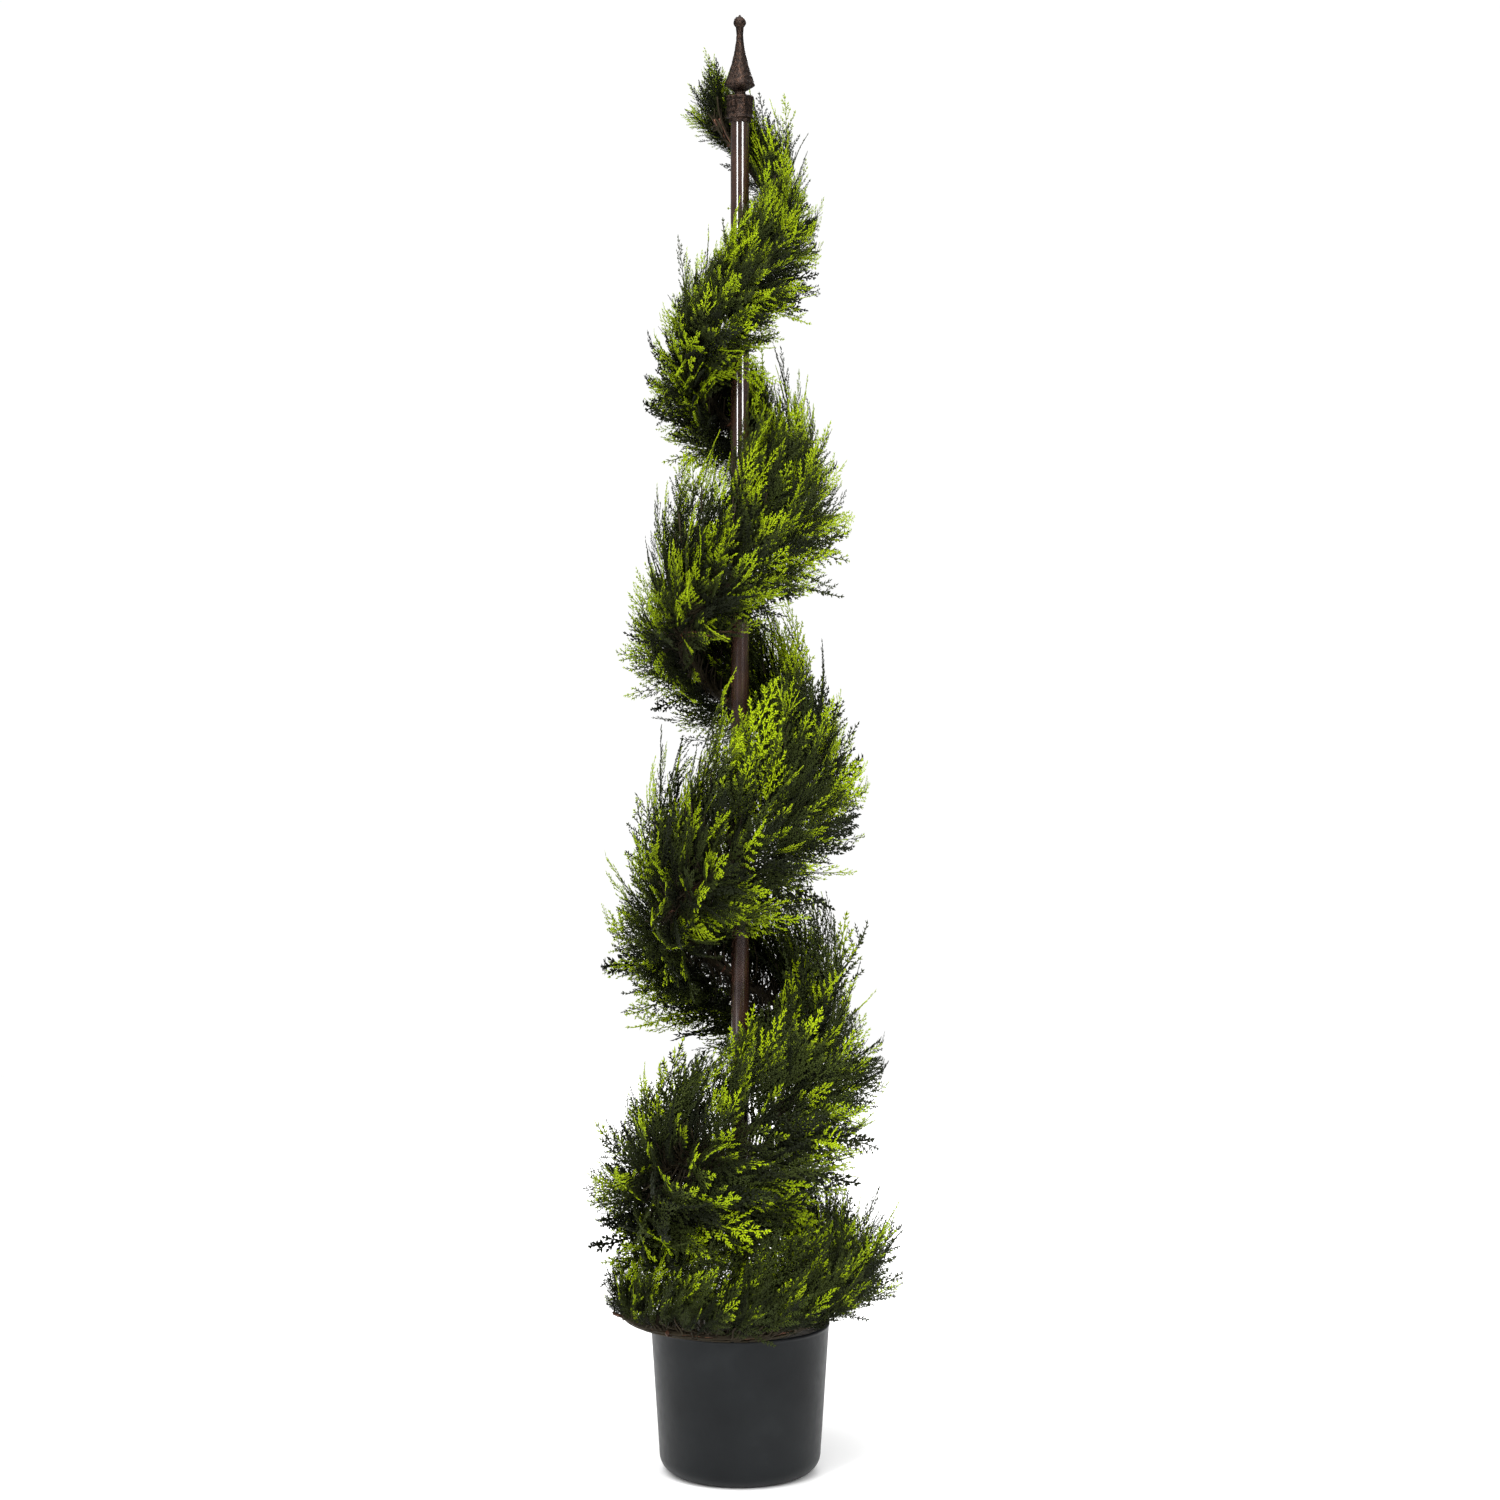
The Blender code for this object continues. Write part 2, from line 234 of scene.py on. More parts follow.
@dataclass(frozen=True)
class CastCement:
    """Rough grey cement with sandy grain and small air holes."""

    dark: Color = (0.16, 0.15, 0.135)
    light: Color = (0.36, 0.34, 0.31)
    sand_scale: float = 420.0
    pit_scale: float = 160.0

    def material(self) -> bpy.types.Material:
        """Makes the material."""
        material, sheet, shader = blank_material("cast_cement")
        sand = sheet.grain(Grain.CLOUDY, self.sand_scale, 6.0)
        pits = sheet.grain(Grain.PITTED, self.pit_scale)
        sheet.link(sheet.ramp(sand, [(0.3, self.dark), (0.7, self.light)]), shader.inputs["Base Color"])
        coarse = sheet.relief(pits, 0.0010)
        sheet.link(sheet.relief(sand, 0.0006, coarse), shader.inputs["Normal"])
        sheet.link(sheet.spread(sand, 0.82, 0.97), shader.inputs["Roughness"])
        return material


@dataclass(frozen=True)
class GlossEnamel:
    """Thick brown enamel on steel tube: deep gloss over a slightly wavy coat."""

    dark: Color = (0.0230, 0.0105, 0.0070)
    light: Color = (0.0450, 0.0200, 0.0125)
    cloud_scale: float = 60.0
    sag_scale: float = 38.0

    def material(self) -> bpy.types.Material:
        """Makes the material."""
        material, sheet, shader = blank_material("gloss_enamel")
        cloud = sheet.grain(Grain.CLOUDY, self.cloud_scale, 4.0)
        sheet.link(sheet.ramp(cloud, [(0.35, self.dark), (0.68, self.light)]), shader.inputs["Base Color"])
        sheet.link(sheet.spread(cloud, 0.14, 0.20), shader.inputs["Roughness"])
        sag = sheet.grain(Grain.CLOUDY, self.sag_scale, 1.0)
        sheet.link(sheet.relief(sag, 0.00006), shader.inputs["Normal"])
        shader.inputs["Specular IOR Level"].default_value = 0.8
        shader.inputs["Coat Weight"].default_value = 1.0
        shader.inputs["Coat Roughness"].default_value = 0.05
        shader.inputs["Coat IOR"].default_value = 1.7
        return material


@dataclass(frozen=True)
class HammeredIron:
    """Brown-black cast iron, hammered and lacquered, with rusty hollows."""

    dark: Color = (0.0110, 0.0070, 0.0055)
    light: Color = (0.0370, 0.0215, 0.0150)
    rust: Color = (0.0900, 0.0450, 0.0250)
    cast_scale: float = 330.0
    sand_scale: float = 1500.0

    def material(self) -> bpy.types.Material:
        """Makes the material."""
        material, sheet, shader = blank_material("hammered_iron")
        cast = sheet.grain(Grain.CLOUDY, self.cast_scale, 5.0)
        sand = sheet.grain(Grain.PITTED, self.sand_scale)
        stops = [(0.34, self.dark), (0.58, self.light), (0.80, self.rust)]
        sheet.link(sheet.ramp(cast, stops), shader.inputs["Base Color"])
        sheet.link(sheet.spread(cast, 0.15, 0.36), shader.inputs["Roughness"])
        coarse = sheet.relief(cast, 0.0011)
        sheet.link(sheet.relief(sand, 0.00025, coarse), shader.inputs["Normal"])
        shader.inputs["Metallic"].default_value = 0.8
        return material


@dataclass(frozen=True)
class LacqueredWire:
    """Copper-brown lacquered wire, darker where the lacquer is thick."""

    dark: Color = (0.042, 0.0165, 0.0085)
    light: Color = (0.155, 0.0640, 0.0310)
    patch_scale: float = 170.0
    scratch_scale: float = 1800.0

    def material(self) -> bpy.types.Material:
        """Makes the material."""
        material, sheet, shader = blank_material("lacquered_wire")
        patch = sheet.grain(Grain.CLOUDY, self.patch_scale, 5.0)
        sheet.link(sheet.ramp(patch, [(0.38, self.dark), (0.66, self.light)]), shader.inputs["Base Color"])
        sheet.link(sheet.spread(patch, 0.26, 0.46), shader.inputs["Roughness"])
        scratch = sheet.grain(Grain.CLOUDY, self.scratch_scale, 2.0)
        sheet.link(sheet.relief(scratch, 0.00008), shader.inputs["Normal"])
        shader.inputs["Metallic"].default_value = 0.55
        return material


@dataclass(frozen=True)
class CypressPlastic:
    """Moulded leaf plastic. Each sprig carries its own dark to lime colour, point by point."""

    color_layer: str = "sprig_color"
    dull_scale: float = 160.0
    vein_scale: float = 1400.0

    def material(self) -> bpy.types.Material:
        """Makes the material, with its shader in a group of its own."""
        group = bpy.data.node_groups.new("cypress_plastic", "ShaderNodeTree")
        group.interface.new_socket("Surface", in_out="OUTPUT", socket_type="NodeSocketShader")
        sheet = NodeSheet(group)
        shader = sheet.add("ShaderNodeBsdfPrincipled")
        layer = sheet.add("ShaderNodeVertexColor", layer_name=self.color_layer)
        sheet.link(layer.outputs["Color"], shader.inputs["Base Color"])
        dull = sheet.grain(Grain.CLOUDY, self.dull_scale, 3.0)
        sheet.link(sheet.spread(dull, 0.50, 0.70), shader.inputs["Roughness"])
        vein = sheet.grain(Grain.CLOUDY, self.vein_scale, 2.0)
        sheet.link(sheet.relief(vein, 0.0002), shader.inputs["Normal"])
        shader.inputs["Specular IOR Level"].default_value = 0.12
        outlet = sheet.add("NodeGroupOutput")
        sheet.link(shader.outputs["BSDF"], outlet.inputs["Surface"])

        material = bpy.data.materials.new("cypress_plastic")
        material.use_nodes = True
        outer = NodeSheet(material.node_tree)
        material.node_tree.nodes.remove(material.node_tree.nodes["Principled BSDF"])
        inner = outer.add("ShaderNodeGroup", node_tree=group)
        output = material.node_tree.nodes["Material Output"]
        outer.link(inner.outputs["Surface"], output.inputs["Surface"])
        return material


@dataclass(frozen=True)
class StudioFloor:
    """Matt white studio floor with the faintest mottle."""

    low: float = 0.88
    high: float = 0.92

    def material(self) -> bpy.types.Material:
        """Makes the material."""
        material, sheet, shader = blank_material("studio_floor")
        mottle = sheet.grain(Grain.CLOUDY, 3.0, 2.0)
        stops = [(0.3, (self.low,) * 3), (0.7, (self.high,) * 3)]
        sheet.link(sheet.ramp(mottle, stops), shader.inputs["Base Color"])
        shader.inputs["Roughness"].default_value = 0.9
        shader.inputs["Specular IOR Level"].default_value = 0.1
        return material


# ---------------------------------------------------------------------------------------------
# Mesh building
# ---------------------------------------------------------------------------------------------


def new_object(name: str, data: bpy.types.ID) -> bpy.types.Object:
    """Adds an object that holds a mesh, a light or a camera to the scene."""
    obj = bpy.data.objects.new(name, data)
    bpy.context.scene.collection.objects.link(obj)
    return obj


@dataclass
class Shape:
    """Points, faces and point colours that build up into one mesh."""

    points: list[Array] = field(default_factory=list)
    faces: list[Array] = field(default_factory=list)
    colors: list[Array] = field(default_factory=list)
    count: int = 0

    def add(self, points: Array, faces: Array, colors: Array | None = None) -> None:
        """Adds a closed body.

        Args:
            points: its points, one row each.
            faces: its triangles, as rows of indices into points.
            colors: a linear colour for each point, for pieces that have them.
        """
        self.points.append(points)
        self.faces.append(faces + self.count)
        if colors is not None:
            self.colors.append(colors)
        self.count += len(points)

    def build(self, name: str, material: bpy.types.Material, color_layer: str = "") -> bpy.types.Object:
        """Makes the object.

        Args:
            name: the piece's name.
            material: its finish.
            color_layer: the name of its colour layer, if its points have colours.

        Returns:
            The new object, smooth shaded.
        """
        points = np.concatenate(self.points).astype(np.float32)
        faces = np.concatenate(self.faces).astype(np.int32)
        mesh = bpy.data.meshes.new(name)
        mesh.vertices.add(len(points))
        mesh.vertices.foreach_set("co", points.ravel())
        mesh.loops.add(faces.size)
        mesh.loops.foreach_set("vertex_index", faces.ravel())
        mesh.polygons.add(len(faces))
        mesh.polygons.foreach_set("loop_start", np.arange(0, faces.size, 3, dtype=np.int32))
        mesh.materials.append(material)
        mesh.update(calc_edges=True)
        mesh.validate()
        mesh.shade_smooth()
        if self.colors:
            layer = mesh.color_attributes.new(color_layer, "BYTE_COLOR", "POINT")
            opaque = np.ones((len(points), 1))
            colors = np.hstack([np.concatenate(self.colors), opaque]).astype(np.float32)
            layer.data.foreach_set("color", colors.ravel())
            mesh.color_attributes.active_color = layer
        return new_object(name, mesh)


def solid_piece(name: str, finish: bpy.types.Material, *solids: Solid) -> bpy.types.Object:
    """Makes one object of closed bodies, each given as its points and triangles."""
    shape = Shape()
    for points, faces in solids:
        shape.add(points, faces)
    return shape.build(name, finish)


def grid_faces(rows: int, columns: int, closed_rows: bool = False) -> Array:
    """Triangles of a sleeve of rings.

    Args:
        rows: how many rings.
        columns: how many points on each ring, which closes on itself.
        closed_rows: whether the last ring joins the first.

    Returns:
        Rows of three indices, facing outwards for rings that turn left about their direction.
    """
    row = np.arange(rows if closed_rows else rows - 1)[:, None]
    column = np.arange(columns)[None, :]
    a = row * columns + column
    b = row * columns + (column + 1) % columns
    c = (row + 1) % rows * columns + (column + 1) % columns
    d = (row + 1) % rows * columns + column
    halves = [np.stack(corners, -1).reshape(-1, 3) for corners in ([a, b, c], [a, c, d])]
    return np.concatenate(halves)


def cap_faces(start: int, columns: int, tip: int, upwards: bool) -> Array:
    """A fan of triangles from one ring to a tip point."""
    first = start + np.arange(columns)
    second = start + (np.arange(columns) + 1) % columns
    tips = np.full(columns, tip)
    return np.stack([first, second, tips] if upwards else [second, first, tips], -1)


def sleeve(rings: Array) -> tuple[Array, Array]:
    """A closed body through rings of points, with a fan over each end.

    Args:
        rings: points by ring and place, each ring turning left about the body's direction.

    Returns:
        The points and triangles.
    """
    rows, columns = rings.shape[:2]
    points = np.concatenate([rings.reshape(-1, 3), rings[[0, -1]].mean(1)])
    last = (rows - 1) * columns
    faces = [grid_faces(rows, columns)]
    faces += [cap_faces(0, columns, rows * columns, False)]
    faces += [cap_faces(last, columns, rows * columns + 1, True)]
    return points, np.concatenate(faces)


def unit(vectors: Array) -> Array:
    """The same directions at length one."""
    return vectors / np.maximum(np.linalg.norm(vectors, axis=-1, keepdims=True), 1e-12)


def tube(path: Array, radius: float | Array, sides: int = 10) -> tuple[Array, Array]:
    """A round wire along a path, with closed ends.

    Args:
        path: points along the middle of the wire.
        radius: the wire's radius, one number or one for each point.
        sides: points on each ring.

    Returns:
        The points and triangles.
    """
    tangent = unit(np.gradient(path, axis=0))
    side = np.zeros_like(path)
    start = np.cross(tangent[0], [0.0, 0.0, 1.0])
    if np.linalg.norm(start) < 0.1:
        start = np.cross(tangent[0], [1.0, 0.0, 0.0])
    side[0] = unit(start)
    for i in range(1, len(path)):
        carried = side[i - 1] - tangent[i] * (side[i - 1] @ tangent[i])
        side[i] = unit(carried)
    up = np.cross(tangent, side)
    angle = math.tau * np.arange(sides) / sides
    reach = np.broadcast_to(np.asarray(radius, float), len(path))[:, None, None]
    ring = side[:, None] * np.cos(angle)[None, :, None] + up[:, None] * np.sin(angle)[None, :, None]
    return sleeve(path[:, None] + ring * reach)


def arc(centre: Pair, radius: float, start: float, end: float, count: int) -> list[Pair]:
    """Points on an arc.

    Args:
        centre: (across, up) of its centre.
        radius: its radius.
        start: the first angle in degrees, anticlockwise from across.
        end: the last angle.
        count: how many points.

    Returns:
        (across, up) pairs.
    """
    angles = np.radians(np.linspace(start, end, count))
    return [(centre[0] + radius * math.cos(a), centre[1] + radius * math.sin(a)) for a in angles]


def turned(profile: Sequence[tuple[float, float]], steps: int) -> tuple[Array, Array]:
    """A ring-shaped body turned about Z.

    Args:
        profile: a closed outline of (radius, height), anticlockwise seen with the axis on its left.
        steps: points round the axis.

    Returns:
        The points and triangles.
    """
    outline = np.array(profile)
    angle = math.tau * np.arange(steps) / steps
    round_axis = np.stack([np.cos(angle), np.sin(angle)], -1)
    level = outline[:, None, :1] * round_axis[None]
    height = np.broadcast_to(outline[:, None, 1:], (len(outline), steps, 1))
    rings = np.concatenate([level, height], -1)
    return rings.reshape(-1, 3), grid_faces(len(outline), steps, closed_rows=True)


def roughened(points: Array, size: float, height: float) -> Array:
    """Moves points a little, as a casting or a trowelled face is uneven.

    The bumps follow the seed given to noise.seed_set, and change on each run without one.

    Args:
        points: one row each.
        size: the width of a bump.
        height: how far a point may move.

    Returns:
        The moved points.
    """
    moves = [noise.noise_vector(Vector(point) / size) for point in points]
    return points + np.array(moves) * height


def finished(piece: bpy.types.Object, body: Body, replaced: Sequence[str]) -> None:
    """Hangs a piece on its body and logs it.

    Args:
        piece: the object, in place.
        body: the CAD body that it rides.
        replaced: the CAD nodes that it stands for.
    """
    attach(piece, body.value)
    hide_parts(*replaced)
    log.info("%s: %d faces, rides %s", piece.name, len(piece.data.polygons), body.value)


# ---------------------------------------------------------------------------------------------
# Pot and pole
# ---------------------------------------------------------------------------------------------


@dataclass
class Pot:
    """The tapered nursery pot and the cement cast inside it."""

    foot_radius: float = 0.0853
    foot_round: float = 0.020
    wall: float = 0.0025
    bead: float = 0.0021
    fill_drop: float = 0.014
    fill_gap: float = 0.0004
    steps: int = 160
    seed: int = 4711

    def __post_init__(self) -> None:
        """Takes the height and the mouth from the frame."""
        low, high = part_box("pot_shell")
        self.height = high.z - low.z
        self.mouth = high.x - self.bead / 2

    def shell(self, finish: bpy.types.Material) -> bpy.types.Object:
        """The pot: a rounded foot with a moulding step, a tapered wall and a rolled lip."""
        foot_centre = (self.foot_radius - self.foot_round, self.foot_round)
        outside = arc(foot_centre, self.foot_round, -90, -4, 14)
        wall_top = (self.mouth, self.height - 2.4 * self.bead)
        rise = np.linspace(0.04, 1.0, 14)
        start = np.array((self.foot_radius, self.foot_round))
        outside += [tuple(start + (np.array(wall_top) - start) * share) for share in rise]
        lip_centre = (self.mouth - self.wall / 2, self.height - self.bead)
        lip = arc(lip_centre, self.bead, -40, 180, 14)
        inner_foot = arc(foot_centre, self.foot_round - self.wall, 0, -90, 8)
        sole = [(0.0006, self.wall), (0.0006, 0.0), (0.060, 0.0)]
        sole += [(0.062, 0.0007), (0.066, 0.0007), (0.068, 0.0)]
        return solid_piece("pot", finish, turned(outside + lip + inner_foot + sole, self.steps))

    def fill(self, finish: bpy.types.Material, pole_radius: float) -> bpy.types.Object:
        """The cement, trowelled roughly level round the pole."""
        top = self.height - self.fill_drop
        edge = self.mouth - self.wall - self.bead
        foot = self.foot_radius - self.wall - 0.001
        bore = pole_radius + self.fill_gap
        rings = [(radius, top) for radius in np.linspace(bore, edge, 34)]
        outline = rings[::-1] + [(bore, 0.026), (0.034, 0.025), (foot - 0.012, 0.0035), (foot, 0.016)]
        points, faces = turned(outline, self.steps)
        on_top = points[:, 2] > top - 0.0001
        noise.seed_set(self.seed)
        rough = roughened(points, 0.012, 0.0016) - points
        fine = roughened(points, 0.0035, 0.0007) - points
        points[on_top, 2] += (rough + fine)[on_top, 2]
        return solid_piece("cement", finish, (points, faces))

    def build(self, pole_radius: float) -> None:
        """Makes both pieces."""
        finished(self.shell(TubPlastic().material()), Body.STAND, ["pot_shell"])
        cement = self.fill(CastCement().material(), pole_radius)
        finished(cement, Body.STAND, ["cement_fill"])


@dataclass
class Pole:
    """The enamelled steel tube, and the plate under it that the cement holds."""

    wall: float = 0.0012
    edge: float = 0.0003
    steps: int = 64
    ring_gap: float = 0.02

    def __post_init__(self) -> None:
        """Takes the radius and the ends from the frame."""
        low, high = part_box("pole_tube")
        self.radius = high.x
        self.bottom = low.z
        self.top = high.z

    def build(self, enamel: bpy.types.Material) -> None:
        """Makes the tube, and gives the CAD plate its enamel."""
        bore = self.radius - self.wall
        rings = np.linspace(self.bottom + self.edge, self.top - self.edge, int(self.top / self.ring_gap))
        outside = [(self.radius - self.edge, self.bottom)] + [(self.radius, z) for z in rings]
        outside += [(self.radius - self.edge, self.top), (bore + self.edge / 2, self.top)]
        inside = [(bore, self.top - self.edge), (bore, self.bottom)]
        tube_piece = solid_piece("pole", enamel, turned(outside + inside, self.steps))
        finished(tube_piece, Body.STAND, ["pole_tube"])
        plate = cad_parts["pole_foot_plate"]
        plate.data.materials.clear()
        plate.data.materials.append(enamel)


@dataclass
class Finial:
    """The cast cap over the pole's end, and the four-sided spear with its ball."""

    pole_radius: float
    turn: float = math.radians(-37.5)
    chamfer: float = 0.35
    corner: float = 20.0
    steps: int = 96
    clearance: float = 0.0003
    flange: float = 0.0010
    cap_half_width: float = 0.0116
    band_radius: float = 0.0115
    stud_radius: float = 0.004
    neck_radius: float = 0.0060
    spear_half_width: float = 0.0136
    throat_half_width: float = 0.0033
    ball_radius: float = 0.0065
    shoulder_rise: float = 0.0114
    throat_drop: float = 0.0210
    curve: float = 1.6
    hammer_size: float = 0.0034
    hammer_depth: float = 0.00042

    def __post_init__(self) -> None:
        """Takes the heights from the frame."""
        low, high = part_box("finial_cap")
        self.cap_bottom, self.cap_top = low.z, high.z
        self.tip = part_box("finial_spear")[1].z
        self.pole_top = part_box("pole_tube")[1].z
        self.shoulder = self.cap_top + self.shoulder_rise
        self.throat = self.tip - self.throat_drop

    def ring(self, half_width: float, height: float, square: float) -> Array:
        """A level ring between a chamfered square and a circle.

        Args:
            half_width: from the axis to a flat side, or the circle's radius.
            height: its height.
            square: 1 for the chamfered square, 0 for the circle.

        Returns:
            The ring's points.
        """
        angle = math.tau * np.arange(self.steps) / self.steps
        across, along = np.abs(np.cos(angle - self.turn)), np.abs(np.sin(angle - self.turn))
        side = np.maximum(across, along)
        bevel = (across + along) / (2.0 - self.chamfer)
        softened = (side**self.corner + bevel**self.corner) ** (-1.0 / self.corner)
        reach = half_width * (square * softened + 1.0 - square)
        return np.stack([reach * np.cos(angle), reach * np.sin(angle), np.full(self.steps, height)], -1)

    def stack(self, levels: Sequence[tuple[float, float, float]], step: float) -> list[Array]:
        """Rings through (half width, height, square) levels, no further apart than step."""
        rings = []
        for low, high in zip(levels, levels[1:]):
            gap = math.dist(low[:2], high[:2])
            count = max(int(gap / step), 1)
            for i in range(count):
                share = i / count
                rings.append(self.ring(*(a + (b - a) * share for a, b in zip(low, high))))
        return rings + [self.ring(*levels[-1])]

    def hammered(self, points: Array) -> Array:
        """Points moved in and out as a hammered casting is, with finer grain on top."""
        level = points * np.array([1.0, 1.0, 0.0])
        away = unit(level)
        coarse = np.array([noise.noise(Vector(p) / self.hammer_size) for p in points])
        fine = np.array([noise.noise(Vector(p) / (self.hammer_size / 3.2)) for p in points])
        deep = np.minimum(np.linalg.norm(level, axis=1) / self.neck_radius, 1.0)
        return points + away * ((coarse + 0.45 * fine) * self.hammer_depth * deep)[:, None]

    def cap(self, iron: bpy.types.Material) -> bpy.types.Object:
        """The cap: a round band, a square body with a lip below and a flange above, and its socket."""
        wide = self.cap_half_width + self.flange
        body = self.cap_bottom + 0.0042
        under = self.cap_top - 0.0046
        outside = [
            (self.band_radius - 0.0002, self.cap_bottom, 0.0),
            (self.band_radius, self.cap_bottom + 0.0003, 0.0),
            (self.band_radius, body - 0.0004, 0.0),
            (wide - 0.0008, body, 1.0),
            (wide, body + 0.0004, 1.0),
            (wide, body + self.flange, 1.0),
            (self.cap_half_width, body + 0.0036, 1.0),
            (self.cap_half_width, under, 1.0),
            (wide, under + 0.0008, 1.0),
            (wide, self.cap_top - 0.0012, 1.0),
            (wide - 0.0006, self.cap_top - 0.0005, 1.0),
            (self.cap_half_width, self.cap_top, 1.0),
        ]
        outer = self.stack(outside, 0.0006)
        stud = self.stud_radius + self.clearance
        socket = self.pole_radius + self.clearance
        ledge = self.pole_top + self.clearance
        inside = [
            (stud, self.cap_top, 0.0),
            (stud, ledge, 0.0),
            (socket, ledge, 0.0),
            (socket, self.cap_bottom, 0.0),
        ]
        inner = self.stack(inside, 0.004)
        rings = np.array([self.hammered(ring) for ring in outer] + inner)
        faces = grid_faces(len(rings), self.steps, closed_rows=True)
        return solid_piece("finial_collar", iron, (rings.reshape(-1, 3), faces))

    def spear_levels(self) -> list[tuple[float, float, float]]:
        """The spear's levels from the stud's foot up to the ball."""
        foot = self.pole_top + self.clearance
        bottom = self.cap_top + self.clearance
        wide = self.spear_half_width
        levels = [
            (self.stud_radius - 0.0003, foot, 0.0),
            (self.stud_radius, foot + 0.0003, 0.0),
            (self.stud_radius, bottom, 0.0),
            (self.neck_radius, bottom + 0.0001, 0.0),
            (self.neck_radius, self.shoulder - 0.0074, 0.0),
            (self.neck_radius + 0.0014, self.shoulder - 0.0062, 0.7),
            (wide - 0.0010, self.shoulder - 0.0024, 1.0),
            (wide - 0.0001, self.shoulder - 0.0014, 1.0),
        ]
        for share in np.linspace(1.0, 0.0, 18):
            width = self.throat_half_width + (wide - self.throat_half_width) * share**self.curve
            height = self.throat + (self.shoulder - self.throat) * share
            levels.append((width, height, 0.25 + 0.75 * share**0.3))
        return levels

    def spear(self, iron: bpy.types.Material) -> bpy.types.Object:
        """The spear with its stud, throat, ball and a small nub on top."""
        rings = self.stack(self.spear_levels(), 0.0007)
        centre = self.tip - 0.0010 - self.ball_radius
        ball = arc((0.0, centre), self.ball_radius, -52, 76, 22)
        ball += arc((0.0, self.tip - 0.0009), 0.0012, 20, 80, 4)
        rings += [self.ring(radius, height, 0.0) for radius, height in ball]
        rings = np.array([self.hammered(ring) for ring in rings])
        return solid_piece("finial_spearhead", iron, sleeve(rings))

    def build(self) -> None:
        """Makes both castings."""
        iron = HammeredIron().material()
        finished(self.cap(iron), Body.FINIAL, ["finial_cap"])
        finished(self.spear(iron), Body.FINIAL, ["finial_spear"])


# ---------------------------------------------------------------------------------------------
# Spiral and wires
# ---------------------------------------------------------------------------------------------


@dataclass(frozen=True)
class Spiral:
    """The line midway between the two rails."""

    seat_height: float = 0.1644
    seat_radius: float = 0.0937
    radius_per_turn: float = 0.0129
    end_flare: float = 0.33
    pitch: float = 0.293
    level_ease: float = 0.35
    first: float = -7 / 24
    last: float = 111 / 24

    def climb(self, turn: Array) -> Array:
        """The height: level where it lies on the rim, then one pitch a turn."""
        risen = np.hypot(np.maximum(turn, 0.0), self.level_ease) - self.level_ease
        return self.seat_height + self.pitch * risen

    def reach(self, turn: Array) -> Array:
        """The distance from the axis, which shrinks upwards."""
        flare = self.end_flare * np.minimum(turn, 0.0) ** 2
        return self.seat_radius - self.radius_per_turn * turn + flare

    def outward(self, turn: Array) -> Array:
        """The level direction away from the axis."""
        angle = math.tau * (np.asarray(turn, float) - 0.25)
        return np.stack([np.cos(angle), np.sin(angle), np.zeros_like(angle)], -1)

    def at(self, turn: Array, across: Array | float = 0.0, up: Array | float = 0.0) -> Array:
        """Points on the spiral.

        Args:
            turn: places on the spiral.
            across: how far to move them outwards.
            up: how far to move them upwards.

        Returns:
            One row for each place.
        """
        turn = np.asarray(turn, float)
        points = self.outward(turn) * (self.reach(turn) + across)[..., None]
        points[..., 2] += self.climb(turn) + up
        return points

    def along(self, turn: Array) -> Array:
        """The direction in which the spiral climbs."""
        step = 0.001
        return unit(self.at(np.asarray(turn) + step) - self.at(np.asarray(turn) - step))


